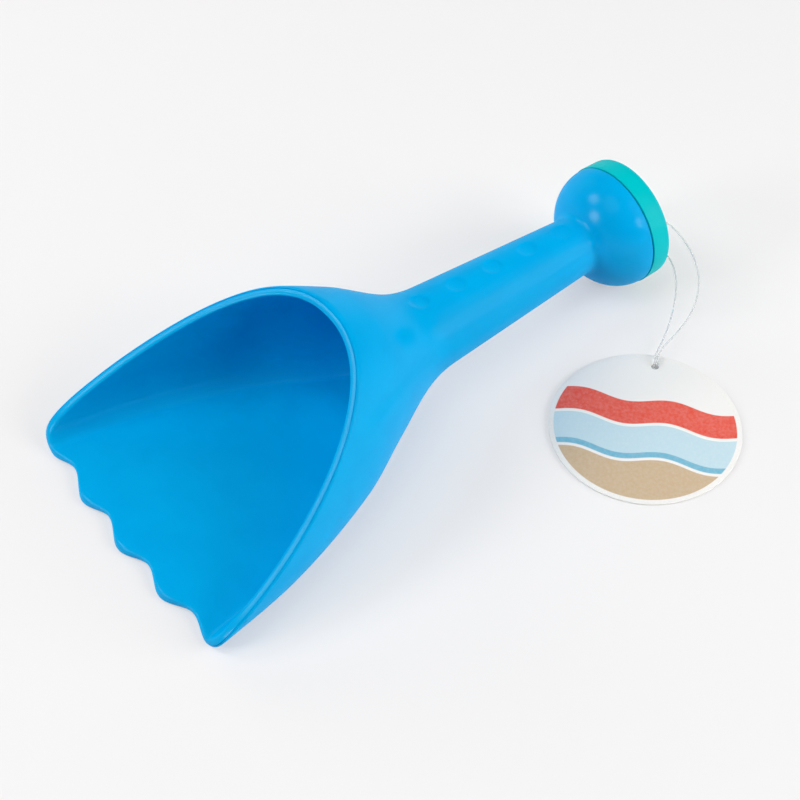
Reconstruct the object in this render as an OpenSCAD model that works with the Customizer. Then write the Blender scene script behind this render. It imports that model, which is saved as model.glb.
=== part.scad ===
// Sand shovel whose hollow handle pours water through a sprinkler rose.
// +X runs from the toothed edge to the rose and +Z is up. The origin lies on the table, under the middle.

/* [Scoop sections] */
// Half width at the front edge
front_half_w = 61.5; // [56:0.5:66]
// Height that the side walls head for at the front edge
front_roof = 75; // [66:0.5:82]
// From the front edge to the middle section
mid_gap = 40; // [34:1:46]
// Half width at the middle section
mid_half_w = 54.5; // [50:0.5:58]
// Height that the side walls head for at the middle section
mid_roof = 80; // [72:0.5:84]
// From the middle section to the back section, under the hood
back_gap = 40; // [34:1:46]
// Half width at the back section
back_half_w = 41.5; // [37:0.5:45]
// Height of the hood at the back section
back_roof = 68; // [64:0.5:74]
// From the back section to the shoulder section
shoulder_gap = 25; // [20:1:30]
// Half width at the shoulder section
shoulder_half_w = 28.5; // [25:0.5:31]
// Height of the hood at the shoulder section
shoulder_roof = 56.5; // [50:0.5:57]
// From the shoulder section to the tail section
tail_gap = 20; // [16:1:24]
// Half width at the tail section
tail_half_w = 18.5; // [16.5:0.5:19]
// Height of the hood at the tail section
tail_roof = 43.5; // [41:0.5:45]
// Height of the underside at the tail section
tail_floor = 4.7; // [3:0.1:7]
// From the tail section to the start of the handle
neck_gap = 13; // [10:1:18]
// Radius of the corner between floor and side wall at the front edge
corner_r = 11; // [8:0.5:14]
// Height of the widest line at the front and middle sections
side_h = 18; // [14:0.5:21]
// Height of the widest line at the back section
back_side_h = 22; // [19:0.5:26]
// Height of the widest line at the shoulder section
shoulder_side_h = 26.5; // [24:0.5:30]
// Squareness of the hood's arch as far as the shoulder section, where 2 is an ellipse
arch_power = 2.2; // [2:0.05:2.8]
// Thickness of the moulded wall
wall = 3.6; // [2.4:0.1:3.9]

/* [Mouth] */
// Number of teeth along the front edge, counting both corners
teeth = 5; // [3:2:7]
// Distance from tooth to tooth
tooth_pitch = 26; // [20:0.1:27]
// Depth of the notches between the teeth
tooth_depth = 5.4; // [3:0.1:8]
// How far the corner teeth stand back from the middle one
front_bow = 3.5; // [0:0.1:6]
// Height above the front edge at which the teeth have faded out
tooth_fade_h = 12; // [8:0.5:16]
// Height of the rim above the front edge
rim_start_h = 6.3; // [5:0.1:9]
// Slope of the rim at the front, in degrees
rim_slope = 26.2; // [25:0.1:31]
// Slope of the rim at the top of the hood, in degrees
rim_top_slope = 38; // [33:0.5:42]
// Height over which the rim steepens
rim_rise = 60; // [52:1:70]
// Softness of the turn from the front edge into the rim
rim_blend = 4.2; // [1:0.1:5]
// How far the rounding of the rim stands out
rim_round = 1.7; // [0.5:0.1:1.8]

/* [Handle] */
// Length of the handle between the scoop and the dome
handle_len = 71; // [60:0.5:90]
// Outer radius where the handle leaves the scoop
neck_r = 16; // [15:0.1:16.5]
// Outer radius where the handle meets the dome
junction_r = 11.5; // [9:0.1:13]
// Number of thumb dimples along the top
dimple_count = 5; // [3:1:5]
// Distance from dimple to dimple
dimple_pitch = 17; // [12:0.1:17.2]
// Width of a dimple
dimple_d = 7.4; // [4:0.1:8]
// Depth of a dimple
dimple_depth = 0.8; // [0.4:0.05:1]
// From the last dimple to the dome
dimple_end = 8.7; // [7:0.1:14]

/* [Dome and rose] */
// Radius of the rose's band, on which the handle's end rests
band_r = 24.5; // [22:0.1:28]
// How far the rose's band stands proud of the dome
band_step = 0.3; // [0.1:0.05:0.5]
// Depth of the dome's oval, from its rim to its pole
dome_depth = 19.7; // [16:0.1:22]
// Width of the rose, from the dome's rim to its face
rose_w = 8.6; // [7.5:0.1:12]
// Radius of the rose's face, which tapers a little
rose_face_r = 24.3; // [23.4:0.1:24.5]
// Thickness of the rose's band at its face
rose_wall = 1.9; // [1.5:0.1:2.2]
// Thickness of the rose's face
face_t = 2.2; // [1.8:0.1:2.6]
// Rounding along the edge of the rose's face
face_round = 0.6; // [0.3:0.1:1.2]
// Seam that shows between the dome and the rose
seam = 0.5; // [0.2:0.05:0.7]
// Length of the spigot that the rose is pushed over
spigot_len = 5; // [4:0.1:5.2]
// Thickness of the spigot
spigot_wall = 2.4; // [1.6:0.1:2.8]
// Radial clearance between the spigot and the rose
spigot_gap = 0.08; // [0.03:0.01:0.1]
// Diameter of a rain hole
rain_hole_d = 2.6; // [1.6:0.1:2.8]
// Radius from one circle of rain holes to the next
rain_step = 8; // [7:0.1:8]

/* [Swing tag] */
// Diameter of the card
tag_d = 71; // [66:0.5:76]
// Thickness of the card
tag_t = 0.7; // [0.4:0.1:0.8]
// Diameter of the hole in the card
tag_hole_d = 3; // [2.6:0.1:4]
// Distance of that hole from the card's middle
tag_hole_r = 30; // [28:0.1:30.5]
// Thickness of the lock under the card
lock_t = 0.9; // [0.7:0.05:0.95]
// Diameter of the lock under the card
lock_d = 5; // [4:0.1:7]
// Diameter of the nylon loop
loop_d = 0.6; // [0.4:0.05:0.8]

/* [Hidden] */
$fn = 96;

BLUE = "#02b0eb";
TURQUOISE = "#30d0d6";
CARD = "#f2efe9";
NYLON = "#eef0f0";

// Places along the length, measured from the middle tooth
mid_x = mid_gap;
back_x = mid_x + back_gap;
shoulder_x = back_x + shoulder_gap;
tail_x = shoulder_x + tail_gap;
neck_x = tail_x + neck_gap;
junction_x = neck_x + handle_len;
dome_r = band_r - band_step;
dome_run = dome_depth * sqrt(1 - pow(junction_r / dome_r, 2));
seat_x = junction_x + dome_run;
face_x = seat_x + rose_w;
mid_len = face_x / 2;
axis_z = band_r;
taper = (junction_r - neck_r) / handle_len;

// The scoop's end is a collar that sits inside the handle's wall
collar_step = 0.25;
collar_len = 3;
collar_out_r = neck_r - collar_step;
collar_in_r = neck_r - wall + collar_step;

// Corner radius at the place x, growing towards the round collar
function corner_at(x) = corner_r + (collar_out_r - corner_r) * pow(x / neck_x, 2);

// One row per section: place, half width, roof, underside, corner radius, height of the widest line
SECTIONS = [
    [0, front_half_w, front_roof, 0, corner_at(0), side_h],
    [mid_x, mid_half_w, mid_roof, 0, corner_at(mid_x), side_h],
    [back_x, back_half_w, back_roof, 0, corner_at(back_x), back_side_h],
    [shoulder_x, shoulder_half_w, shoulder_roof, 0, corner_at(shoulder_x), shoulder_side_h],
    [tail_x, tail_half_w, tail_roof, tail_floor, corner_at(tail_x), (shoulder_side_h + axis_z) / 2],
    [neck_x, collar_out_r, axis_z + collar_out_r, axis_z - collar_out_r, collar_out_r, axis_z],
];
LAST = len(SECTIONS) - 1;
END_SLOPE = [1, taper, taper, -taper, 0, 0];

// Points round a section, rows along the skins, rows round the rim's edge and steps of the root search
LOW_COUNT = 48;
ARCH_COUNT = 28;
RING_COUNT = LOW_COUNT + ARCH_COUNT;
SKIN_COUNT = 14;
EDGE_COUNT = 3;
SEARCH_COUNT = 18;

// Slope of column c of the sections at row i
function slope(i, c) =
    i == LAST ? END_SLOPE[c]
    : let (before = SECTIONS[max(i - 1, 0)], after = SECTIONS[i + 1])
      (after[c] - before[c]) / (after[0] - before[0]);

// Row of SECTIONS at or before the place x
function row_at(x, i = LAST - 1) = i == 0 || x >= SECTIONS[i][0] ? i : row_at(x, i - 1);

// Column c of the sections at the place x, on a smooth curve through the rows
function loft(x, c) =
    let (i = row_at(x), h = SECTIONS[i + 1][0] - SECTIONS[i][0], u = (x - SECTIONS[i][0]) / h, v = 1 - u)
    (1 + 2 * u) * v * v * SECTIONS[i][c] + u * v * v * h * slope(i, c)
    + u * u * (3 - 2 * u) * SECTIONS[i + 1][c] - u * u * v * h * slope(i + 1, c);

// Point k of the lower half: a quarter turn down, the flat floor, and a quarter turn up
function low_point(k, flat, corner, base, widest) =
    let (turn = corner * PI / 2, d = (2 * turn + 2 * flat) * k / LOW_COUNT - turn - flat)
    let (angle = 90 * max(0, abs(d) - flat) / turn)
    [sign(d) * (min(abs(d), flat) + corner * sin(angle)), widest - (widest - base) * cos(angle)];

// Point k of the arch, from the +Y side to the -Y side
function arch_point(k, half, roof, widest, power) =
    let (angle = 180 * k / ARCH_COUNT, c = cos(angle), s = sin(angle))
    [half * sign(c) * pow(abs(c), 2 / power), widest + (roof - widest) * pow(abs(s), 2 / power)];

// Point i round the skin at the place x, at the depth inset below the outer face
function skin(i, x, inset) =
    let (
        half = loft(x, 1) - inset,
        roof = loft(x, 2) - inset,
        base = max(loft(x, 3), 0) + inset,
        corner = min(loft(x, 4) - inset, half),
        widest = loft(x, 5),
        power = arch_power + (2 - arch_power) * max(0, x - shoulder_x) / (neck_x - shoulder_x),
        p = i < LOW_COUNT
            ? low_point(i, half - corner, corner, base, widest)
            : arch_point(i - LOW_COUNT, half, roof, widest, power)
    )
    [x, p[0], p[1]];

// Larger of two values, with a soft turn between them
function soft_max(a, b, k) = let (m = max(a, b)) m + k * ln(exp((a - m) / k) + exp((b - m) / k));

// How far back the rim lies at a height above its start, on a curve that steepens
rim_curl = (1 / tan(rim_slope) - 1 / tan(rim_top_slope)) / (2 * rim_rise);
function rim_run(up) = up / tan(rim_slope) - rim_curl * pow(up, 2);

// How far the soft turn would push the middle tooth back at the floor
front_set = soft_max(0, rim_run(-rim_start_h), rim_blend);

// How far back the mouth lies at a point of the skin: toothed at the front, a rim above
function mouth_at(y, z) =
    let (
        reach = tooth_pitch * (teeth - 1) / 2,
        fade = max(0, min(1, 1 - z / tooth_fade_h)),
        wave = abs(y) > reach ? 0 : tooth_depth / 2 * (1 - cos(360 * y / tooth_pitch)) * fade
    )
    soft_max(front_bow * pow(y / reach, 2) + wave - front_set, rim_run(z - rim_start_h), rim_blend);

// Place at which the skin's line i meets the mouth
function mouth_place(i, inset, low = 0, high = neck_x, steps = SEARCH_COUNT) =
    let (x = (low + high) / 2, p = skin(i, x, inset))
    steps == 0 ? x
    : x < mouth_at(p[1], p[2]) ? mouth_place(i, inset, x, high, steps - 1)
    : mouth_place(i, inset, low, x, steps - 1);

// Row of the skin at a share of the way from the mouth to the neck
function skin_row(starts, share, inset) =
    [for (i = [0:RING_COUNT - 1]) skin(i, starts[i] + share * (neck_x - starts[i]), inset)];

// Ring of the collar at the place x with the radius r, with points in line with the skin's
function collar_row(x, r) =
    [for (i = [0:RING_COUNT - 1])
        let (p = i < LOW_COUNT ? low_point(i, 0, r, axis_z - r, axis_z)
                               : arch_point(i - LOW_COUNT, r, axis_z + r, axis_z, 2))
        [x, p[0], p[1]]];

// Row of the rim's rounded edge between the ends of the two skins
function edge_row(angle, outer, inner, outer_tip, inner_tip) =
    [for (i = [0:RING_COUNT - 1])
        let (forward = (outer_tip[i] + inner_tip[i] - outer[i] - inner[i]) / 2)
        (outer[i] + inner[i]) / 2 + (outer[i] - inner[i]) / 2 * cos(angle) + forward * sin(angle)];

// Triangles of a grid of rows that closes both ways
function closed_grid(rows, ring) =
    [for (j = [0:rows - 1], i = [0:ring - 1])
        let (a = j * ring, b = (j + 1) % rows * ring, n = (i + 1) % ring)
        each [[a + i, b + i, b + n], [a + i, b + n, a + n]]];

module scoop() {
    outer_mouth = [for (i = [0:RING_COUNT - 1]) mouth_place(i, 0)];
    inner_mouth = [for (i = [0:RING_COUNT - 1]) mouth_place(i, wall)];
    outer_start = [for (x = outer_mouth) x + rim_round];
    inner_start = [for (x = inner_mouth) x + rim_round];
    outer = skin_row(outer_start, 0, 0);
    inner = skin_row(inner_start, 0, wall);
    outer_tip = skin_row(outer_mouth, 0, 0);
    inner_tip = skin_row(inner_mouth, 0, wall);
    rows = [
        for (j = [0:SKIN_COUNT]) skin_row(outer_start, j / SKIN_COUNT, 0),
        collar_row(neck_x + collar_len, collar_out_r),
        collar_row(neck_x + collar_len, collar_in_r),
        collar_row(neck_x, collar_in_r),
        for (j = [SKIN_COUNT - 1:-1:0]) skin_row(inner_start, j / SKIN_COUNT, wall),
        for (j = [EDGE_COUNT:-1:1]) edge_row(180 * j / (EDGE_COUNT + 1), outer, inner, outer_tip, inner_tip),
    ];
    polyhedron([for (row = rows) each row], closed_grid(len(rows), RING_COUNT), convexity = 8);
}

// Turns a profile of radius and place along the length about the handle's axis
module turned(profile) {
    translate([0, 0, axis_z])
        rotate([0, 90, 0])
            rotate_extrude()
                polygon(profile);
}

// Profile points of an oval dome about the seat, from the angle a to the angle b above the rim
DOME_COUNT = 12;
function dome_arc(r, depth, a, b) =
    [for (k = [0:DOME_COUNT]) let (t = a + (b - a) * k / DOME_COUNT) [r * cos(t), seat_x - depth * sin(t)]];

spigot_r = rose_face_r - rose_wall - spigot_gap;

module handle_and_dome() {
    inner_r = dome_r - wall;
    inner_depth = dome_depth - wall;
    web_angle = asin(wall / inner_depth);
    turned([
        [neck_r - wall, neck_x],
        [neck_r, neck_x],
        each dome_arc(dome_r, dome_depth, acos(junction_r / dome_r), 0),
        [spigot_r, seat_x],
        [spigot_r, seat_x + spigot_len],
        [spigot_r - spigot_wall, seat_x + spigot_len],
        [spigot_r - spigot_wall, seat_x - wall],
        each dome_arc(inner_r, inner_depth, web_angle, acos((junction_r - wall) / inner_r)),
    ]);
}

// Height of the handle's top line at the place x
function top_z(x) = x < neck_x ? loft(x, 2) : axis_z + neck_r + taper * (x - neck_x);

module dimples() {
    ball_r = (pow(dimple_d / 2, 2) + pow(dimple_depth, 2)) / (2 * dimple_depth);
    for (k = [0:dimple_count - 1]) {
        x = junction_x - dimple_end - k * dimple_pitch;
        translate([x, 0, top_z(x) + ball_r - dimple_depth])
            sphere(ball_r);
    }
}

module scoop_body() {
    color(BLUE)
        translate([-mid_len, 0, 0])
            difference() {
                union() {
                    scoop();
                    handle_and_dome();
                }
                dimples();
            }
}

// Middle of rain hole k on circle c, across and up from the rose's axis
function rain_hole(c, k) =
    let (angle = c == 0 ? 0 : 360 * k / (6 * c))
    [c * rain_step * cos(angle), c * rain_step * sin(angle)];

CIRCLE_COUNT = 2;
RAIN_HOLES = [for (c = [0:CIRCLE_COUNT]) for (k = [0:max(0, 6 * c - 1)]) rain_hole(c, k)];

module rose_cap() {
    bore_r = spigot_r + spigot_gap;
    over = 1;
    color(TURQUOISE)
        translate([-mid_len, 0, 0])
            difference() {
                turned([
                    [bore_r, seat_x + seam],
                    [band_r, seat_x + seam],
                    [rose_face_r, face_x - face_round],
                    [rose_face_r - face_round, face_x],
                    [0, face_x],
                    [0, face_x - face_t],
                    [bore_r, face_x - face_t],
                ]);
                for (hole = RAIN_HOLES)
                    translate([face_x - face_t - over, hole[0], axis_z + hole[1]])
                        rotate([0, 90, 0])
                            cylinder(d = rain_hole_d, h = face_t + 2 * over, $fn = 32);
            }
}

// The card lies on the table beside the handle, propped on its lock at the hole
tag_middle = [65.5, -70.5];
tag_angle = 40;
tag_far = tag_d / 2;
lock_gap = 0.1;
tag_lift = atan((lock_t + lock_gap) / (tag_far + tag_hole_r - lock_d / 2));
tag_hole = tag_middle + tag_hole_r * [cos(tag_angle), sin(tag_angle)];

module tag_card() {
    color(CARD)
        translate([tag_middle[0], tag_middle[1], 0])
            rotate([0, 0, tag_angle])
                translate([-tag_far, 0, 0])
                    rotate([0, -tag_lift, 0])
                        difference() {
                            translate([tag_far, 0, 0])
                                cylinder(d = tag_d, h = tag_t);
                            translate([tag_far + tag_hole_r, 0, -tag_t])
                                cylinder(d = tag_hole_d, h = 3 * tag_t, $fn = 32);
                        }
}

module tag_lock() {
    color(NYLON)
        translate([tag_hole[0], tag_hole[1], 0])
            cylinder(d = lock_d, h = lock_t, $fn = 48);
}

// The loop's two ends stand in the lock, and it is threaded through two rain holes
loop_side = [-sin(tag_angle), cos(tag_angle)];
loop_spread = 0.5;
loop_near = tag_hole - loop_spread * loop_side;
loop_back = tag_hole + loop_spread * loop_side;
loop_out = [cos(tag_angle), sin(tag_angle)];
rain_a = rain_hole(CIRCLE_COUNT, 5);
rain_b = rain_hole(CIRCLE_COUNT, 7);
loop_play = 0.4;
loop_fall = 0.75 * rain_step;
loop_sag = rain_hole_d / 2 - loop_d / 2 - loop_play;
function at_card(start, run, z) = [start[0] + run * loop_out[0], start[1] + run * loop_out[1], z];
function at_rain(hole, run, rise) = [face_x - mid_len + run, hole[0], axis_z + hole[1] - loop_sag + rise];

LOOP_ROUTE = [
    at_card(loop_near, 0, lock_t),
    at_card(loop_near, 0, 1.9),
    at_card(loop_near, 0.4, 2.8),
    at_card(loop_near, 1.4, 3.4),
    at_card(loop_near, 4, 3.6),
    [97.6, -46.8, 3.9],
    [105.8, -45.1, 4.8],
    [115.1, -42.3, 7.4],
    [122.4, -37.7, 11.8],
    [126.4, -31.2, 17.2],
    [126.8, -24, 23],
    [124.3, -18.3, 28.4],
    [120.9, -15, 31.6],
    at_rain(rain_a, 1.2, 0),
    at_rain(rain_a, -1.1, 0),
    at_rain(rain_a, -3, 0),
    at_rain(rain_a, -4.4, -0.8),
    at_rain(rain_a, -5, -2.4),
    at_rain(rain_a, -5, -loop_fall),
    at_rain(rain_b, -5, loop_fall),
    at_rain(rain_b, -5, 2.4),
    at_rain(rain_b, -4.4, 0.8),
    at_rain(rain_b, -3, 0),
    at_rain(rain_b, -1.1, 0),
    at_rain(rain_b, 1.2, 0),
    [121, -14.8, 16],
    [123.8, -18.8, 13.4],
    [122.6, -24.6, 10],
    [117.4, -31.1, 7],
    [109.6, -37.5, 5],
    [100.8, -43.1, 4.1],
    at_card(loop_back, 4, 3.6),
    at_card(loop_back, 1.4, 3.4),
    at_card(loop_back, 0.4, 2.8),
    at_card(loop_back, 0, 1.9),
    at_card(loop_back, 0, lock_t),
];
LOOP_STEP_COUNT = 2;
LOOP_SIDE_COUNT = 8;

function unit(v) = v / norm(v);

// Point at the share u of the stretch after point i of a route, on a smooth curve through the points
function curve_point(p, i, u) =
    let (last = len(p) - 1, a = p[max(i - 1, 0)], b = p[i], c = p[i + 1], d = p[min(i + 2, last)])
    0.5 * (2 * b + u * (c - a) + u * u * (2 * a - 5 * b + 4 * c - d) + u * u * u * (3 * b - a - 3 * c + d));

// Sideways directions along a line of tangents, each carried over from the one before
function carried(tangents, i, side) =
    i == len(tangents) ? []
    : let (t = tangents[i], n = unit(side - (side * t) * t)) concat([n], carried(tangents, i + 1, n));

// Tube along a route, with its ends square to it
module tube(route, d, steps, sides) {
    last = len(route) - 1;
    line = [for (i = [0:last - 1]) for (k = [0:steps - 1]) curve_point(route, i, k / steps), route[last]];
    rings = len(line);
    tangents = [for (i = [0:rings - 1]) unit(line[min(i + 1, rings - 1)] - line[max(i - 1, 0)])];
    normals = carried(tangents, 0, [1, 0, 0]);
    points = [for (i = [0:rings - 1]) for (k = [0:sides - 1])
        let (a = 360 * k / sides, across = cos(a) * normals[i] + sin(a) * cross(tangents[i], normals[i]))
        line[i] + d / 2 * across];
    far = (rings - 1) * sides;
    faces = [
        for (i = [0:rings - 2]) for (k = [0:sides - 1])
            let (a = i * sides, b = a + sides, n = (k + 1) % sides)
            each [[a + k, b + k, b + n], [a + k, b + n, a + n]],
        for (k = [1:sides - 2]) each [[0, k, k + 1], [far, far + k + 1, far + k]],
    ];
    polyhedron(points, faces);
}

module tag_loop() {
    color(NYLON)
        tube(LOOP_ROUTE, loop_d, LOOP_STEP_COUNT, LOOP_SIDE_COUNT);
}

scoop_body();
rose_cap();
tag_card();
tag_lock();
tag_loop();
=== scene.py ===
"""Looks of the sand shovel: fine mouldings, swing tag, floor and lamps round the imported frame."""

import math

import bmesh
import bpy
import numpy as np
from mathutils import Matrix, Vector


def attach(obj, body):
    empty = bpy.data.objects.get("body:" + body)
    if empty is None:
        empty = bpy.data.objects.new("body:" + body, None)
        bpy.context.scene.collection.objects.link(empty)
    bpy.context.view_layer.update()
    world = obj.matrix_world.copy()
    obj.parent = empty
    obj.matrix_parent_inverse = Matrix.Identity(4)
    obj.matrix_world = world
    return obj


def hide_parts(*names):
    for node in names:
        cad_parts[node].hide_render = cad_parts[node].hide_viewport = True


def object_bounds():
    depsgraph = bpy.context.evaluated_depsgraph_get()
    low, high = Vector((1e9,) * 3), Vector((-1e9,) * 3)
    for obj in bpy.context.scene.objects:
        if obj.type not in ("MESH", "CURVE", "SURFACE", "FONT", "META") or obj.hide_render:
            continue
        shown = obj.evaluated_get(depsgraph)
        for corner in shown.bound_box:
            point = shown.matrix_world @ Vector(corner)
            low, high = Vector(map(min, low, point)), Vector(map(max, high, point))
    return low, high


MM = 0.001

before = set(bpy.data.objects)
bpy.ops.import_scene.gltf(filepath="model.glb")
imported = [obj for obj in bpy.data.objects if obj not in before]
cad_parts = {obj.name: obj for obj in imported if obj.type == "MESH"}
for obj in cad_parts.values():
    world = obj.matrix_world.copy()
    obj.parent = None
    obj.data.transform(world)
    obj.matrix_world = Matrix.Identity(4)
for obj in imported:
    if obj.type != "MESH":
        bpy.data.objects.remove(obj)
CAD_LOW, CAD_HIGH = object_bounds()
scene = bpy.context.scene
scene.view_settings.view_transform = "Standard"

# Sizes in millimetres, as in the part's source, with places along the length measured from the middle tooth
WALL = 3.6
NECK_X = 138.0
NECK_R = 16.0
JUNCTION_X = 209.0
JUNCTION_R = 11.5
TAPER = (JUNCTION_R - NECK_R) / (JUNCTION_X - NECK_X)
BAND_R = 24.5
BAND_STEP = 0.3
BAND_W = 8.6
DOME_R = BAND_R - BAND_STEP
DOME_DEPTH = 19.7
SEAT_X = JUNCTION_X + DOME_DEPTH * math.sqrt(1 - (JUNCTION_R / DOME_R) ** 2)
FACE_X = SEAT_X + BAND_W
MID_LEN = FACE_X / 2
AXIS_Z = BAND_R
ROSE_FACE_R = 24.3
ROSE_WALL = 1.9
ROSE_BORE_R = ROSE_FACE_R - ROSE_WALL
ROSE_FACE_T = 2.2
SEAM = 0.5
SPIGOT_GAP = 0.08
SPIGOT_WALL = 2.4
SPIGOT_R = ROSE_BORE_R - SPIGOT_GAP
SPIGOT_IN_R = SPIGOT_R - SPIGOT_WALL
SPIGOT_LEN = 5.0
RAIN_HOLE_R = 1.3
RAIN_STEP = 8.0
RAIN_CIRCLES = 3
HOLES_PER_CIRCLE = 6
TAG_R = 35.5
TAG_T = 0.7
TAG_HOLE_R = 1.5
TAG_HOLE_X = 30.0
TAG_MIDDLE = (65.5, -70.5)
TAG_ANGLE = math.radians(40)
LOCK_T = 0.9
LOCK_D = 5.0
LOCK_GAP = 0.1
LOOP_D = 0.6


def tag_place():
    """Where the card lies: turned on the table, and propped on its lock at the hole."""
    lift = math.atan((LOCK_T + LOCK_GAP) / (TAG_R + TAG_HOLE_X - LOCK_D / 2))
    middle = Matrix.Translation((TAG_MIDDLE[0] * MM, TAG_MIDDLE[1] * MM, 0))
    turn = Matrix.Rotation(TAG_ANGLE, 4, "Z")
    tilt = Matrix.Rotation(-lift, 4, "Y")
    from_edge = Matrix.Translation((TAG_R * MM, 0, 0))
    return middle @ turn @ from_edge.inverted() @ tilt @ from_edge


TAG_PLACE = tag_place()

# Camera, as the photograph was taken: distances in metres, lens and sensor in millimetres
CAMERA_TURN = math.radians(-37.425)
CAMERA_RISE = math.radians(49.16)
CAMERA_AIM = Vector((0.00244, -0.00472, 0))
CAMERA_DISTANCE = 0.6345
CAMERA_LENS = 76.46
SENSOR_WIDTH = 36
NEAREST = 0.01
FARTHEST = 50


def make_camera():
    """Looks at a point on the table, from a bearing off -Y and a height above the table."""
    back = Vector((
        math.sin(CAMERA_TURN) * math.cos(CAMERA_RISE),
        -math.cos(CAMERA_TURN) * math.cos(CAMERA_RISE),
        math.sin(CAMERA_RISE),
    ))
    data = bpy.data.cameras.new("camera")
    data.sensor_width = SENSOR_WIDTH
    data.lens = CAMERA_LENS
    data.clip_start = NEAREST
    data.clip_end = FARTHEST
    camera = bpy.data.objects.new("camera", data)
    scene.collection.objects.link(camera)
    camera.location = CAMERA_AIM + CAMERA_DISTANCE * back
    camera.rotation_mode = "QUATERNION"
    camera.rotation_quaternion = (-back).to_track_quat("-Z", "Y")
    scene.camera = camera


make_camera()

# Sockets of the mix node that carry colours, by number because their names repeat
MIX_FACTOR = 0
MIX_A = 6
MIX_B = 7
MIX_RESULT = 2

# Span that holds most values of a noise, and the whole span of a share
NOISE_SPAN = (0.3, 0.7)
NONE_TO_ALL = (0.0, 1.0)
ALL_TO_NONE = (1.0, 0.0)


# Node trees
def feed(tree, node, inputs):
    """Gives a node its inputs; each is a plain value or a socket to link."""
    for key, value in inputs.items():
        if isinstance(value, bpy.types.NodeSocket):
            tree.links.new(value, node.inputs[key])
        else:
            node.inputs[key].default_value = value


def add(tree, kind, inputs=None, **settings):
    """A new node with its settings and inputs."""
    node = tree.nodes.new(kind)
    for name, value in settings.items():
        setattr(node, name, value)
    feed(tree, node, inputs or {})
    return node


def new_material(name):
    """A material with its tree, its shader and the place on the object."""
    material = bpy.data.materials.new(name)
    material.use_nodes = True
    tree = material.node_tree
    shader = tree.nodes["Principled BSDF"]
    where = add(tree, "ShaderNodeTexCoord").outputs["Object"]
    return material, tree, shader, where


def noise(tree, where, scale, detail=2.0, roughness=0.5, distortion=0.0):
    inputs = {
        "Vector": where,
        "Scale": scale,
        "Detail": detail,
        "Roughness": roughness,
        "Distortion": distortion,
    }
    return add(tree, "ShaderNodeTexNoise", inputs).outputs["Fac"]


def stretched(tree, where, scale, rotation=(0.0, 0.0, 0.0)):
    inputs = {"Vector": where, "Rotation": rotation, "Scale": scale}
    return add(tree, "ShaderNodeMapping", inputs).outputs[0]


def remap(tree, value, span, result):
    """Turns one span of values into another, and holds both ends."""
    inputs = {
        "Value": value,
        "From Min": span[0],
        "From Max": span[1],
        "To Min": result[0],
        "To Max": result[1],
    }
    return add(tree, "ShaderNodeMapRange", inputs).outputs["Result"]


def calc(tree, operation, a, b=0.0):
    return add(tree, "ShaderNodeMath", {0: a, 1: b}, operation=operation).outputs[0]


def distance(tree, where, point=(0.0, 0.0, 0.0)):
    return add(tree, "ShaderNodeVectorMath", {0: where, 1: point}, operation="DISTANCE").outputs["Value"]


def mixed(tree, factor, a, b):
    inputs = {MIX_FACTOR: factor, MIX_A: a, MIX_B: b}
    return add(tree, "ShaderNodeMix", inputs, data_type="RGBA").outputs[MIX_RESULT]


def bumped(tree, height, depth, below=None):
    """A bump of that depth in metres, on top of another where there is one below."""
    inputs = {"Height": height, "Distance": depth, "Strength": 1.0}
    if below is not None:
        inputs["Normal"] = below
    return add(tree, "ShaderNodeBump", inputs).outputs["Normal"]


def plastic(name, deep, pale):
    """Satin moulded plastic: faint clouds of colour, soft flow streaks, fine grain and faint scuffs."""
    cloud_span = (0.35, 0.65)
    flow_scale = (40.0, 420.0, 420.0)
    gloss_range = (0.24, 0.28)
    scuff_scale = (90.0, 2600.0, 900.0)
    scuff_turn = (0.3, 0.2, 0.7)
    scuff_span = (0.70, 0.80)
    scuff_range = (0.0, 0.05)
    ripple_depth = 0.00002
    grain_depth = 0.0000012
    coat_range = (0.15, 0.2)
    material, tree, shader, where = new_material(name)
    clouds = remap(tree, noise(tree, where, scale=75.0, detail=3.0), cloud_span, NONE_TO_ALL)
    flow = stretched(tree, where, flow_scale)
    streaks = noise(tree, flow, scale=1.0, detail=4.0, roughness=0.6)
    gloss = remap(tree, streaks, NOISE_SPAN, gloss_range)
    rubbed = stretched(tree, where, scuff_scale, scuff_turn)
    scuffs = remap(tree, noise(tree, rubbed, scale=1.0, distortion=0.4), scuff_span, scuff_range)
    ripple = bumped(tree, noise(tree, where, scale=45.0, detail=1.0), ripple_depth)
    grain = bumped(tree, noise(tree, where, scale=2400.0), grain_depth, ripple)
    feed(tree, shader, {
        "Base Color": mixed(tree, clouds, deep, pale),
        "Roughness": calc(tree, "ADD", gloss, scuffs),
        "Normal": grain,
        "Specular IOR Level": 0.0,
        "Coat Weight": 0.22,
        "Coat Roughness": remap(tree, streaks, NOISE_SPAN, coat_range),
        "Coat Normal": ripple,
    })
    return material


def nylon(name):
    """Drawn clear nylon: milky, with a slightly uneven surface."""
    clear = (0.82, 0.85, 0.86, 1)
    milky = (0.95, 0.96, 0.96, 1)
    gloss_range = (0.12, 0.3)
    uneven_depth = 0.00001
    material, tree, shader, where = new_material(name)
    milk = remap(tree, noise(tree, where, scale=400.0), NOISE_SPAN, NONE_TO_ALL)
    feed(tree, shader, {
        "Base Color": mixed(tree, milk, clear, milky),
        "Roughness": remap(tree, noise(tree, where, scale=1500.0), NOISE_SPAN, gloss_range),
        "Normal": bumped(tree, noise(tree, where, scale=1200.0, detail=1.0), uneven_depth),
        "Transmission Weight": 0.7,
        "IOR": 1.53,
    })
    return material


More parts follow.
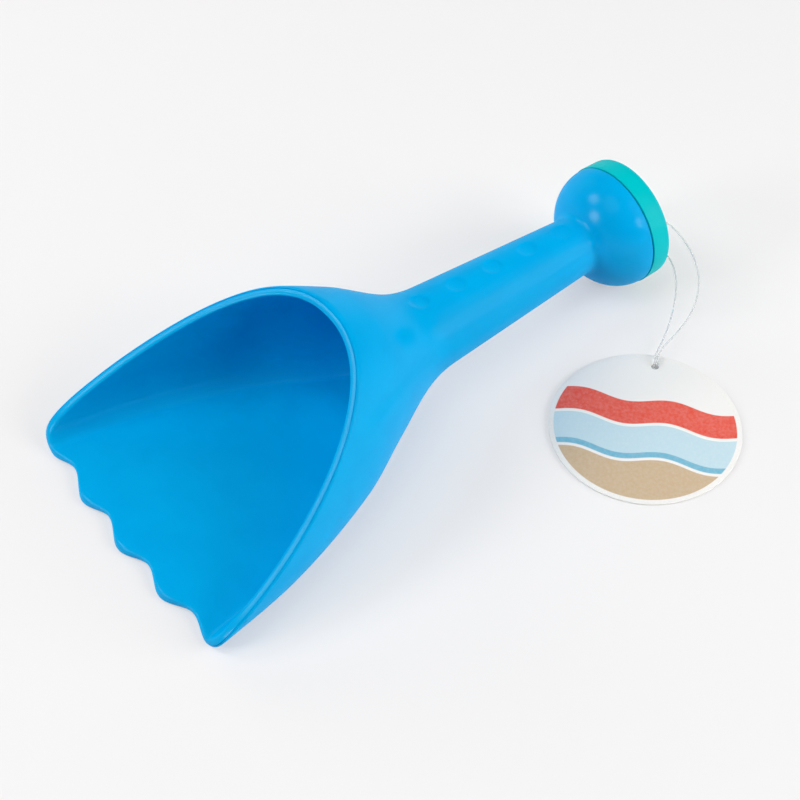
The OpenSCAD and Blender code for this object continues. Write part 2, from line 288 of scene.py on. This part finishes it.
# Print of the card, in metres: each band starts at a place along the card and runs on away from the hole
CARD_WHITE = (0.87, 0.86, 0.84, 1)
CARD_RED = (0.76, 0.085, 0.05, 1)
CARD_PALE_BLUE = (0.52, 0.70, 0.78, 1)
CARD_BLUE = (0.16, 0.46, 0.62, 1)
CARD_SAND = (0.58, 0.43, 0.27, 1)
CARD_BANDS = (
    (0.0125, CARD_RED),
    (0.0015, CARD_WHITE),
    (0.0001, CARD_PALE_BLUE),
    (-0.0125, CARD_BLUE),
    (-0.0150, CARD_WHITE),
    (-0.0163, CARD_SAND),
)
WAVE_RADIANS_PER_M = 190.0
WAVE_HEIGHT = 0.0016
PRINT_SOFT = 0.00012
PRINT_R = 0.0336
PRINT_DEPTH = (0.00062, 0.00066)
HOLE_MARGIN_R = 0.0032


def printed_card(name):
    """Coated card: wavy bands of colour inside a white border in front, plain board on the edge and back."""
    dark_board = (0.83, 0.82, 0.79, 1)
    pale_board = (0.90, 0.89, 0.87, 1)
    speckle_range = (0.0, 0.12)
    gloss_range = (0.38, 0.5)
    fibre_depth = 0.000012
    material, tree, shader, where = new_material(name)
    lie = {"Vector": where, "Location": TAG_PLACE.to_translation(), "Rotation": TAG_PLACE.to_euler()}
    where = add(tree, "ShaderNodeMapping", lie, vector_type="TEXTURE").outputs[0]
    place = add(tree, "ShaderNodeSeparateXYZ", {"Vector": where})
    wave = calc(tree, "SINE", calc(tree, "MULTIPLY", place.outputs["Y"], WAVE_RADIANS_PER_M))
    run = calc(tree, "ADD", place.outputs["X"], calc(tree, "MULTIPLY", wave, WAVE_HEIGHT))

    # Printed bands, with a fine speckle of bare board
    colour = CARD_WHITE
    for edge, tint in CARD_BANDS:
        begun = remap(tree, run, (edge + PRINT_SOFT, edge - PRINT_SOFT), NONE_TO_ALL)
        colour = mixed(tree, begun, colour, tint)
    speckle = remap(tree, noise(tree, where, scale=900.0, detail=3.0), NOISE_SPAN, speckle_range)
    colour = mixed(tree, speckle, colour, CARD_WHITE)

    # Bare places: the border, a margin round the hole, the edge and the back
    border_span = (PRINT_R - PRINT_SOFT, PRINT_R + PRINT_SOFT)
    border = remap(tree, distance(tree, where), border_span, NONE_TO_ALL)
    hole = (TAG_HOLE_X * MM, 0, TAG_T * MM)
    margin_span = (HOLE_MARGIN_R - PRINT_SOFT, HOLE_MARGIN_R + PRINT_SOFT)
    margin = remap(tree, distance(tree, where, hole), margin_span, ALL_TO_NONE)
    below = remap(tree, place.outputs["Z"], PRINT_DEPTH, ALL_TO_NONE)
    bare = calc(tree, "MAXIMUM", calc(tree, "MAXIMUM", border, margin), below)

    fibre = remap(tree, noise(tree, where, scale=1400.0, detail=4.0, roughness=0.7), NOISE_SPAN, NONE_TO_ALL)
    board = mixed(tree, fibre, dark_board, pale_board)
    feed(tree, shader, {
        "Base Color": mixed(tree, bare, colour, board),
        "Roughness": remap(tree, fibre, NONE_TO_ALL, gloss_range),
        "Normal": bumped(tree, fibre, fibre_depth),
    })
    return material


def seen_plainly(tree):
    """1 for what the camera sees, also in gloss or through nylon, and 0 for light on its way to a surface."""
    path = add(tree, "ShaderNodeLightPath")
    seen = calc(tree, "MAXIMUM", path.outputs["Is Camera Ray"], path.outputs["Is Glossy Ray"])
    return calc(tree, "MAXIMUM", seen, path.outputs["Is Transmission Ray"])


def pale_floor(name):
    """White paper, seen partly lit and partly plain so that shadows stay faint, and all plain far away."""
    dark_paper = (0.86, 0.85, 0.85, 1)
    pale_paper = (0.88, 0.87, 0.87, 1)
    plain_paper = (0.89, 0.885, 0.89, 1)
    gloss_range = (0.7, 0.8)
    near_to_far = (0.28, 0.6)
    plain_share = (0.48, 1.0)
    material, tree, shader, where = new_material(name)
    cloud = noise(tree, where, scale=2.0)
    feed(tree, shader, {
        "Base Color": mixed(tree, cloud, dark_paper, pale_paper),
        "Roughness": remap(tree, cloud, NOISE_SPAN, gloss_range),
        "Specular IOR Level": 0.2,
    })
    plain = add(tree, "ShaderNodeEmission", {"Color": plain_paper}).outputs[0]
    share = remap(tree, distance(tree, where), near_to_far, plain_share)
    share = calc(tree, "MULTIPLY", seen_plainly(tree), share)
    both = add(tree, "ShaderNodeMixShader", {0: share, 1: shader.outputs[0], 2: plain}).outputs[0]
    feed(tree, tree.nodes["Material Output"], {"Surface": both})
    return material


BLUE = plastic("blue_plastic", deep=(0.0, 0.365, 0.74, 1), pale=(0.0, 0.385, 0.765, 1))
TURQUOISE = plastic("turquoise_plastic", deep=(0.0, 0.50, 0.545, 1), pale=(0.0, 0.52, 0.56, 1))
CARD = printed_card("card")
NYLON = nylon("clear_nylon")

# Loop of the swing tag: it rises from its lock, runs through two rain holes and comes back
STRAND_APART = 0.5
STRAND_GAP = 0.4
THREADED_ANGLE = math.radians(150)
LOOP_STEPS = 10
LOOP_SIDES = 5


def loop_route():
    """Places that the loop passes, in millimetres in the row frame."""
    out = np.array((math.cos(TAG_ANGLE), math.sin(TAG_ANGLE)))
    side = np.array((-out[1], out[0]))
    hole = np.array(TAG_MIDDLE) + TAG_HOLE_X * out
    sag = RAIN_HOLE_R - LOOP_D / 2 - STRAND_GAP
    rain_y = (RAIN_CIRCLES - 1) * RAIN_STEP * math.cos(THREADED_ANGLE)

    def at_card(spread, run, z):
        return (*(hole + spread * side + run * out), z)

    def at_rain(level, run, rise):
        return (FACE_X - MID_LEN + run, rain_y, AXIS_Z + level - sag + rise)

    # Run from the card's hole with the height above the table, and run from the rose's face with the rise
    lift = ((0, LOCK_T), (0, 1.9), (0.4, 2.8), (1.4, 3.4), (4, 3.6))
    thread = ((1.2, 0), (-1.1, 0), (-3, 0), (-4.4, -0.8), (-5, -2.4), (-5, -6))
    to_rose = [
        (97.6, -46.8, 3.9),
        (105.8, -45.1, 4.8),
        (115.1, -42.3, 7.4),
        (122.4, -37.7, 11.8),
        (126.4, -31.2, 17.2),
        (126.8, -24, 23),
        (124.3, -18.3, 28.4),
        (120.9, -15, 31.6),
    ]
    to_card = [
        (121, -14.8, 16),
        (123.8, -18.8, 13.4),
        (122.6, -24.6, 10),
        (117.4, -31.1, 7),
        (109.6, -37.5, 5),
        (100.8, -43.1, 4.1),
    ]
    route = [at_card(-STRAND_APART, run, z) for run, z in lift]
    route += to_rose
    route += [at_rain(RAIN_STEP, run, rise) for run, rise in thread]
    route += [at_rain(-RAIN_STEP, run, -rise) for run, rise in reversed(thread)]
    route += to_card
    route += [at_card(STRAND_APART, run, z) for run, z in reversed(lift)]
    return route


def smooth_line(points, steps):
    """A smooth line through all the points, with that many steps from each to the next."""
    p = np.array(points)
    last = len(p) - 1
    line = []
    for i in range(last):
        a = p[max(i - 1, 0)]
        b = p[i]
        c = p[i + 1]
        d = p[min(i + 2, last)]
        bend = 2 * a - 5 * b + 4 * c - d
        twist = 3 * b - a - 3 * c + d
        for u in np.arange(steps) / steps:
            line.append(0.5 * (2 * b + u * (c - a) + u * u * bend + u ** 3 * twist))
    line.append(p[last])
    return line


def make_loop():
    route = loop_route()
    line = smooth_line(route, LOOP_STEPS)
    data = bpy.data.curves.new("tag_strand", "CURVE")
    data.dimensions = "3D"
    data.bevel_depth = LOOP_D / 2 * MM
    data.bevel_resolution = LOOP_SIDES
    data.use_fill_caps = True
    spline = data.splines.new("POLY")
    spline.points.add(len(line) - 1)
    for point, q in zip(spline.points, line):
        point.co = (*(q * MM), 1)
    data.materials.append(NYLON)
    strand = bpy.data.objects.new("tag_strand", data)
    scene.collection.objects.link(strand)
    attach(strand, "tag")
    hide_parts("tag_loop")
    length = sum(np.linalg.norm(b - a) for a, b in zip(line, line[1:])) * MM
    return strand, [x * MM for x in route[0]], length


STRAND, STRAND_EXIT, STRAND_LENGTH = make_loop()


# Meshes
def finish_shape(shape, sharp):
    """Smooths all faces, and keeps edges above that angle in degrees sharp."""
    limit = math.radians(sharp)
    for face in shape.faces:
        face.smooth = True
    for edge in shape.edges:
        edge.smooth = len(edge.link_faces) == 2 and edge.calc_face_angle(0) < limit


def add_shape(name, shape, material=None):
    """Turns a finished shape into an object of the scene."""
    mesh = bpy.data.meshes.new(name)
    shape.to_mesh(mesh)
    shape.free()
    if material is not None:
        mesh.materials.append(material)
    obj = bpy.data.objects.new(name, mesh)
    scene.collection.objects.link(obj)
    return obj


def turns(steps):
    return [2 * math.pi * k / steps for k in range(steps)]


def wrap(shape, rings):
    """Four-sided faces from each ring of points to the next."""
    for one, two in zip(rings, rings[1:]):
        for k in range(len(one)):
            after = (k + 1) % len(one)
            shape.faces.new((one[k], one[after], two[after], two[k]))


def closed_grid(rows, ring):
    """Four-sided faces of a grid of rows that closes both ways."""
    faces = []
    for j in range(rows):
        a = j * ring
        b = (j + 1) % rows * ring
        faces += [(a + i, a + (i + 1) % ring, b + (i + 1) % ring, b + i) for i in range(ring)]
    return faces


def fillet(before, corner, after, steps=8):
    """A small curve from one point to another, drawn towards a corner."""
    a = np.array(before)
    p = np.array(corner)
    b = np.array(after)
    return [tuple((1 - u) ** 2 * a + 2 * u * (1 - u) * p + u * u * b) for u in np.linspace(0, 1, steps + 1)]


def rounded(profile, steps=4):
    """A profile of place, radius and rounding, with its corners turned into small curves."""
    points = []
    for i, (x, r, size) in enumerate(profile):
        if not size or i in (0, len(profile) - 1):
            points.append((x, r))
            continue
        p = np.array((x, r))
        back = np.array(profile[i - 1][:2]) - p
        on = np.array(profile[i + 1][:2]) - p
        start = p + back / np.linalg.norm(back) * size
        end = p + on / np.linalg.norm(on) * size
        points += fillet(start, p, end, steps)
    return points


# Corner radius of the scoop's sections, which grows towards the neck
FRONT_CORNER_R = 11


def corner_at(x):
    return FRONT_CORNER_R + (NECK_R - FRONT_CORNER_R) * (x / NECK_X) ** 2


# Scoop: one row per section with place, half width, roof, underside, corner radius, height of the widest line
SHOULDER_X = 105
TAIL_X = 125
SECTIONS = np.array([
    (0, 61.5, 75, 0, corner_at(0), 18),
    (40, 54.5, 80, 0, corner_at(40), 18),
    (80, 41.5, 68, 0, corner_at(80), 22),
    (SHOULDER_X, 28.5, 56.5, 0, corner_at(SHOULDER_X), 26.5),
    (TAIL_X, 18.5, 43.5, 4.7, corner_at(TAIL_X), 25.5),
    (NECK_X, NECK_R, AXIS_Z + NECK_R, AXIS_Z - NECK_R, NECK_R, AXIS_Z),
])
ARCH_POWER = 2.2
SCOOP_SHARP = 40.0

# Mouth of the scoop: its row of teeth and the rim, whose run per height shrinks towards the top
TOOTH_PITCH = 26.0
TOOTH_DEPTH = 5.4
TOOTH_FADE_H = 12.0
TOOTH_REACH = 2 * TOOTH_PITCH
FRONT_BOW = 3.5
RIM_START_H = 6.3
RIM_RISE = 60.0
RIM_RUN = 1 / math.tan(math.radians(26.2))
RIM_TOP_RUN = 1 / math.tan(math.radians(38))
RIM_CURL = (RIM_RUN - RIM_TOP_RUN) / (2 * RIM_RISE)
RIM_SOFT = 4.2

# Edge of the mouth: a flattened bead, with a fine parting line placed and sized in shares of the bead
RIM_ROUND = 1.7
RIM_FULLNESS = 3.0
RIM_STEPS = 15
PARTING_AT = 0.55
PARTING_W = 0.08
PARTING_DEPTH = 0.2

# Thumb dimples along the handle's top line
DIMPLE_COUNT = 5
DIMPLE_PITCH = 17.0
DIMPLE_LAST_X = JUNCTION_X - 8.7
DIMPLE_HALF_LEN = 3.9
DIMPLE_HALF_W = 3.5
DIMPLE_DEPTH = 0.8
DIMPLE_BOWL = 0.55

# Fineness of the moulding: points round the lower half and the arch of a section, and rows along it
LOW = 136
ARCH = 104
RING = LOW + ARCH
EACH = np.arange(RING)
IS_LOW = EACH < LOW
ARCH_TURN = np.pi * (EACH - LOW) / ARCH
SKIN_ROWS = 65
HANDLE_ROWS = 110
DOME_STEPS = 40
INNER_DOME_STEPS = 20
BORE_ROWS = 30
HALVINGS = 40
DOME_BLEND = 2.2


def loft(x):
    """Values of the sections at the places x, on a smooth curve through the rows."""
    s = SECTIONS[:, 0]
    v = SECTIONS[:, 1:]
    slope = np.empty_like(v)
    slope[0] = (v[1] - v[0]) / (s[1] - s[0])
    slope[1:-1] = (v[2:] - v[:-2]) / (s[2:] - s[:-2])[:, None]
    slope[-1] = (TAPER, TAPER, -TAPER, 0, 0)
    i = np.clip(np.searchsorted(s, x, side="right") - 1, 0, len(s) - 2)
    h = (s[i + 1] - s[i])[:, None]
    u = (x - s[i])[:, None] / h
    w = 1 - u
    return ((1 + 2 * u) * w * w * v[i] + u * w * w * h * slope[i]
            + u * u * (3 - 2 * u) * v[i + 1] - u * u * w * h * slope[i + 1])


def skin(x, inset):
    """Points round the skin at the places x, one for each, at the depth inset below the outer face."""
    half, roof, base, corner, widest = loft(x).T
    half = half - inset
    roof = roof - inset
    base = np.maximum(base, 0) + inset
    corner = np.minimum(corner - inset, half)

    # Lower half: a flat floor between two rounded corners
    flat = half - corner
    turn = corner * np.pi / 2
    d = (2 * turn + 2 * flat) * EACH / LOW - turn - flat
    a = np.pi / 2 * np.maximum(0, np.abs(d) - flat) / turn
    low_y = np.sign(d) * (np.minimum(np.abs(d), flat) + corner * np.sin(a))
    low_z = widest - (widest - base) * np.cos(a)

    # Arch, which turns into a round one at the neck
    power = ARCH_POWER + (2 - ARCH_POWER) * np.maximum(0, x - SHOULDER_X) / (NECK_X - SHOULDER_X)
    c = np.cos(ARCH_TURN)
    s = np.sin(ARCH_TURN)
    arch_y = half * np.sign(c) * np.abs(c) ** (2 / power)
    arch_z = widest + (roof - widest) * np.abs(s) ** (2 / power)
    return np.stack([x, np.where(IS_LOW, low_y, arch_y), np.where(IS_LOW, low_z, arch_z)], -1)


def mouth_at(y, z):
    """How far back the mouth lies: toothed at the front, a rim that steepens above."""
    front_set = RIM_SOFT * math.log(
        1 + math.exp((-RIM_RUN * RIM_START_H - RIM_CURL * RIM_START_H ** 2) / RIM_SOFT))
    fade = np.clip(1 - z / TOOTH_FADE_H, 0, 1)
    wave = TOOTH_DEPTH / 2 * (1 - np.cos(2 * np.pi * y / TOOTH_PITCH)) * fade
    wave = np.where(np.abs(y) > TOOTH_REACH, 0, wave)
    up = z - RIM_START_H
    front = FRONT_BOW * (y / TOOTH_REACH) ** 2 + wave - front_set
    rim = RIM_RUN * up - RIM_CURL * up ** 2
    most = np.maximum(front, rim)
    return most + RIM_SOFT * np.log(np.exp((front - most) / RIM_SOFT) + np.exp((rim - most) / RIM_SOFT))


def mouth_place(inset):
    """Where the mouth cuts each line of the skin, found by halving."""
    low = np.zeros(RING)
    high = np.full(RING, NECK_X)
    for _ in range(HALVINGS):
        x = (low + high) / 2
        p = skin(x, inset)
        ahead = x < mouth_at(p[:, 1], p[:, 2])
        low = np.where(ahead, x, low)
        high = np.where(ahead, high, x)
    return (low + high) / 2


def turned_row(x, r):
    """A ring about the handle's axis, with points in line with the skin's at the neck."""
    low_turn = np.pi * EACH / LOW - np.pi / 2
    y = np.where(IS_LOW, np.sin(low_turn), np.cos(ARCH_TURN))
    z = np.where(IS_LOW, -np.cos(low_turn), np.sin(ARCH_TURN))
    return np.stack([np.full(RING, x), r * y, AXIS_Z + r * z], -1)


def dome_arc(r, depth, start, end, steps):
    """An oval dome's profile about the seat, from one angle above its rim to another."""
    return [(SEAT_X - depth * math.sin(t), r * math.cos(t)) for t in np.linspace(start, end, steps + 1)]


def outside_profile():
    """Handle and dome from the neck to just before the seat, with a fillet between them."""
    places = np.linspace(NECK_X, JUNCTION_X - DOME_BLEND, HANDLE_ROWS)[1:]
    handle = [(x, NECK_R + TAPER * (x - NECK_X)) for x in places]
    arc = dome_arc(DOME_R, DOME_DEPTH, math.acos(JUNCTION_R / DOME_R), 0, DOME_STEPS)
    corner = arc[0]
    past = [p for p in arc if math.hypot(p[0] - corner[0], p[1] - corner[1]) > DOME_BLEND]
    return handle + fillet(handle[-1], corner, past[0])[1:-1] + past[:-1]


def inside_profile(before):
    """Seat, spigot and the inside of dome and handle, from the point before the seat back to the neck."""
    inner_r = DOME_R - WALL
    inner_depth = DOME_DEPTH - WALL
    web = math.asin(WALL / inner_depth)
    pole = math.acos((JUNCTION_R - WALL) / inner_r)
    profile = rounded([
        (*before, 0),
        (SEAT_X, DOME_R, 0.2),
        (SEAT_X, SPIGOT_R, 0.3),
        (SEAT_X + SPIGOT_LEN, SPIGOT_R, 0.4),
        (SEAT_X + SPIGOT_LEN, SPIGOT_IN_R, 0.4),
        (SEAT_X - WALL, SPIGOT_IN_R, 0.5),
        (SEAT_X - WALL, inner_r * math.cos(web), 0),
    ])[1:]
    profile += dome_arc(inner_r, inner_depth, web, pole, INNER_DOME_STEPS)[1:]
    places = np.linspace(JUNCTION_X, NECK_X, BORE_ROWS)[1:-1]
    profile += [(x, NECK_R - WALL + TAPER * (x - NECK_X)) for x in places]
    return profile


def dimpled(row):
    """A row of the outer skin with the thumb dimples sunk into the handle's top line."""
    p = row.copy()
    top = p[:, 2] > AXIS_Z
    for k in range(DIMPLE_COUNT):
        along = (p[:, 0] - (DIMPLE_LAST_X - k * DIMPLE_PITCH)) / DIMPLE_HALF_LEN
        d = np.hypot(along, p[:, 1] / DIMPLE_HALF_W)
        p[:, 2] -= np.where(top, DIMPLE_DEPTH * np.clip(1 - d ** 2, 0, 1) ** DIMPLE_BOWL, 0)
    return p


def bead(outer, inner, tip):
    """Rows of the mouth's edge, from the inner skin to the outer one by way of its tip."""
    middle = (outer + inner) / 2
    across = (outer - inner) / 2
    forward = tip - middle
    sides = [math.cos(t) for t in np.linspace(math.pi, 0, RIM_STEPS)[1:-1]]
    spots = [math.copysign(abs(c) ** (2 / RIM_FULLNESS), c) for c in sides]
    spots = [s for s in spots if abs(s - PARTING_AT) > PARTING_W]
    spots = sorted(spots + [PARTING_AT - PARTING_W, PARTING_AT, PARTING_AT + PARTING_W])
    rows = []
    for s in spots:
        lift = (1 - abs(s) ** RIM_FULLNESS) ** (1 / RIM_FULLNESS)
        if s == PARTING_AT:
            lift -= PARTING_DEPTH
        rows.append(middle + s * across + lift * forward)
    return rows


def make_body():
    outer_mouth = mouth_place(0)
    inner_mouth = mouth_place(WALL)
    outer_start = outer_mouth + RIM_ROUND
    inner_start = inner_mouth + RIM_ROUND
    shares = np.linspace(0, 1, SKIN_ROWS)
    outside = outside_profile()
    outer_rows = [skin(outer_start + u * (NECK_X - outer_start), 0) for u in shares]
    outer_rows += [turned_row(x, r) for x, r in outside]
    outer_rows = [dimpled(row) for row in outer_rows]
    inner_rows = [turned_row(x, r) for x, r in inside_profile(outside[-1])]
    inner_rows += [skin(inner_start + u * (NECK_X - inner_start), WALL) for u in shares[::-1]]
    tip = (skin(outer_mouth, 0) + skin(inner_mouth, WALL)) / 2
    rows = outer_rows + inner_rows + bead(outer_rows[0], inner_rows[-1], tip)
    points = np.concatenate(rows)
    points[:, 0] -= MID_LEN
    points = np.clip(points * MM, np.array(CAD_LOW), np.array(CAD_HIGH))

    mesh = bpy.data.meshes.new("scoop_rows")
    mesh.from_pydata([tuple(p) for p in points], [], closed_grid(len(rows), RING))
    shape = bmesh.new()
    shape.from_mesh(mesh)
    bpy.data.meshes.remove(mesh)
    bmesh.ops.recalc_face_normals(shape, faces=shape.faces)
    finish_shape(shape, SCOOP_SHARP)
    body = add_shape("scoop_moulding", shape, BLUE)
    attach(body, "shovel")
    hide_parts("scoop_body")


make_body()

# Rose: a lathe profile with rounded edges, drilled with softened rain holes
ROSE_SHARP = 30.0
ROSE_STEPS = 192
HOLE_STEPS = 32
HOLE_SINK = 0.35
CUT_OVER = 0.5
PROFILE_START_R = 1.0


def about_axis(x, r, angle, y=0.0, z=AXIS_Z):
    """A point at a distance from a line along the length, in metres in the row frame."""
    return ((x - MID_LEN) * MM, (y + r * math.cos(angle)) * MM, (z + r * math.sin(angle)) * MM)


def lathe(name, profile, steps, material):
    """A solid of a profile turned about the handle's axis, with a flat face at each end."""
    shape = bmesh.new()
    strips = []
    for angle in turns(steps):
        strips.append([shape.verts.new(about_axis(x, r, angle)) for x, r in profile])
    for k in range(steps):
        a = strips[k]
        b = strips[(k + 1) % steps]
        for i in range(len(profile) - 1):
            shape.faces.new((a[i], b[i], b[i + 1], a[i + 1]))
    shape.faces.new([strip[0] for strip in strips])
    shape.faces.new([strip[-1] for strip in strips])
    bmesh.ops.recalc_face_normals(shape, faces=shape.faces)
    return add_shape(name, shape, material)


def drill(name):
    """Cutters for the rain holes, with a small countersink at each end."""
    low = FACE_X - ROSE_FACE_T
    high = FACE_X
    sunk_r = RAIN_HOLE_R + HOLE_SINK
    profile = (
        (low - CUT_OVER, sunk_r),
        (low, sunk_r),
        (low + HOLE_SINK, RAIN_HOLE_R),
        (high - HOLE_SINK, RAIN_HOLE_R),
        (high, sunk_r),
        (high + CUT_OVER, sunk_r),
    )
    shape = bmesh.new()
    for circle in range(RAIN_CIRCLES):
        for angle in turns(max(1, HOLES_PER_CIRCLE * circle)):
            y = circle * RAIN_STEP * math.cos(angle)
            z = AXIS_Z + circle * RAIN_STEP * math.sin(angle)
            rings = []
            for x, r in profile:
                rings.append([shape.verts.new(about_axis(x, r, t, y, z)) for t in turns(HOLE_STEPS)])
            wrap(shape, rings)
            shape.faces.new(rings[0])
            shape.faces.new(rings[-1])
    bmesh.ops.recalc_face_normals(shape, faces=shape.faces)
    return add_shape(name, shape)


def make_rose():
    profile = rounded([
        (FACE_X - ROSE_FACE_T, PROFILE_START_R, 0),
        (FACE_X - ROSE_FACE_T, ROSE_BORE_R, 0.5),
        (SEAT_X + SEAM, ROSE_BORE_R, 0.25),
        (SEAT_X + SEAM, BAND_R, 0.3),
        (FACE_X, ROSE_FACE_R, 0.9),
        (FACE_X, PROFILE_START_R, 0),
    ], steps=6)
    rose = lathe("rose_moulding", profile, ROSE_STEPS, TURQUOISE)
    cutter = drill("rain_cutter")
    cut = rose.modifiers.new("holes", "BOOLEAN")
    cut.operation = "DIFFERENCE"
    cut.solver = "EXACT"
    cut.object = cutter
    ready = rose.evaluated_get(bpy.context.evaluated_depsgraph_get())
    mesh = bpy.data.meshes.new_from_object(ready)
    rose.modifiers.clear()
    rose.data = mesh
    bpy.data.objects.remove(cutter)
    shape = bmesh.new()
    shape.from_mesh(mesh)
    finish_shape(shape, ROSE_SHARP)
    shape.to_mesh(mesh)
    shape.free()
    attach(rose, "rose")
    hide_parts("rose_cap")


make_rose()

# Swing tag: a card with pressed edges and a punched hole
CARD_SHARP = 50.0
CARD_STEPS = 160
PUNCH_STEPS = 40
CARD_PRESS = (
    (0.12, 0.0),
    (0.03, 0.04),
    (0.0, 0.14),
    (0.0, TAG_T - 0.14),
    (0.03, TAG_T - 0.04),
    (0.12, TAG_T),
)


def make_card():
    shape = bmesh.new()

    def pressed_edge(x, radius, grow, steps):
        """A round edge, drawn in by the press at the back and the front, as its first and last ring."""
        rings = []
        for inset, z in CARD_PRESS:
            r = radius - grow * inset
            circle = [((x + r * math.cos(t)) * MM, r * math.sin(t) * MM, z * MM) for t in turns(steps)]
            rings.append([shape.verts.new(point) for point in circle])
        wrap(shape, rings)
        return rings[0], rings[-1]

    rim = pressed_edge(0, TAG_R, 1, CARD_STEPS)
    hole = pressed_edge(TAG_HOLE_X, TAG_HOLE_R, -1, PUNCH_STEPS)
    for outer, inner in zip(rim, hole):
        edges = []
        for ring in (outer, inner):
            edges += [shape.edges.get((ring[k], ring[(k + 1) % len(ring)])) for k in range(len(ring))]
        bmesh.ops.triangle_fill(shape, use_beauty=True, edges=edges)
    bmesh.ops.recalc_face_normals(shape, faces=shape.faces)
    finish_shape(shape, CARD_SHARP)
    bmesh.ops.transform(shape, matrix=TAG_PLACE, verts=shape.verts)
    card = add_shape("tag_print", shape, CARD)
    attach(card, "tag")
    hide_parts("tag_card")


make_card()

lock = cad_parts["tag_lock"]
lock.data.materials.clear()
lock.data.materials.append(NYLON)

# Floor, in metres
FLOOR_SIZE = 6
FLOOR_DROP = 0.0002


def make_floor():
    shape = bmesh.new()
    bmesh.ops.create_grid(shape, x_segments=1, y_segments=1, size=FLOOR_SIZE)
    floor = add_shape("floor", shape, pale_floor("floor"))
    floor.location.z = -FLOOR_DROP


make_floor()

# Lamps: name, bearing from +X and height above the table in degrees, power in watts, width in metres
LAMP_DISTANCE = 1.4
LAMPS = (
    ("key_left", 166, 28, 5.7, 0.47),
    ("key_right", 289, 34, 3.0, 0.36),
    ("front_top", 180, 70, 6.8, 0.9),
    ("key_rim", 133, 45, 4.2, 0.48),
    ("left_low", 90, 20, 5.4, 0.9),
    ("back_left_low", 45, 20, 3.0, 0.9),
    ("back_right_high", 315, 50, 3.3, 0.9),
    ("back_right_low", 315, 20, 11.6, 0.9),
)


def soft_box(name, bearing, rise, power, width):
    """A round soft box that faces the shovel; only the key lamps are seen in the gloss."""
    data = bpy.data.lights.new(name, "AREA")
    data.shape = "DISK"
    data.size = width
    data.energy = power
    lamp = bpy.data.objects.new(name, data)
    scene.collection.objects.link(lamp)
    a = math.radians(bearing)
    e = math.radians(rise)
    way = Vector((math.cos(a) * math.cos(e), math.sin(a) * math.cos(e), math.sin(e)))
    lamp.location = way * LAMP_DISTANCE
    lamp.visible_glossy = name.startswith("key")
    lamp.rotation_mode = "QUATERNION"
    lamp.rotation_quaternion = way.to_track_quat("Z", "Y")


for lamp_row in LAMPS:
    soft_box(*lamp_row)

# World: strengths of the room's walls where they are seen, from their foot up, and of its light elsewhere
ROOM_COLOUR = (0.99, 0.99, 1.0, 1)
WALL_HEIGHT = (0.05, 0.4)
WALL_STRENGTH = (0.88, 0.1)
ROOM_LIGHT = 0.02


def make_world():
    """A dim room that the camera sees as a pale background, with walls that darken upwards."""
    world = bpy.data.worlds.new("world")
    scene.world = world
    world.use_nodes = True
    tree = world.node_tree
    way = add(tree, "ShaderNodeTexCoord").outputs["Generated"]
    height = add(tree, "ShaderNodeSeparateXYZ", {"Vector": way}).outputs["Z"]
    pale = remap(tree, height, WALL_HEIGHT, WALL_STRENGTH)
    seen = calc(tree, "MULTIPLY", seen_plainly(tree), pale)
    strength = calc(tree, "MAXIMUM", seen, ROOM_LIGHT)
    feed(tree, tree.nodes["Background"], {"Color": ROOM_COLOUR, "Strength": strength})


make_world()
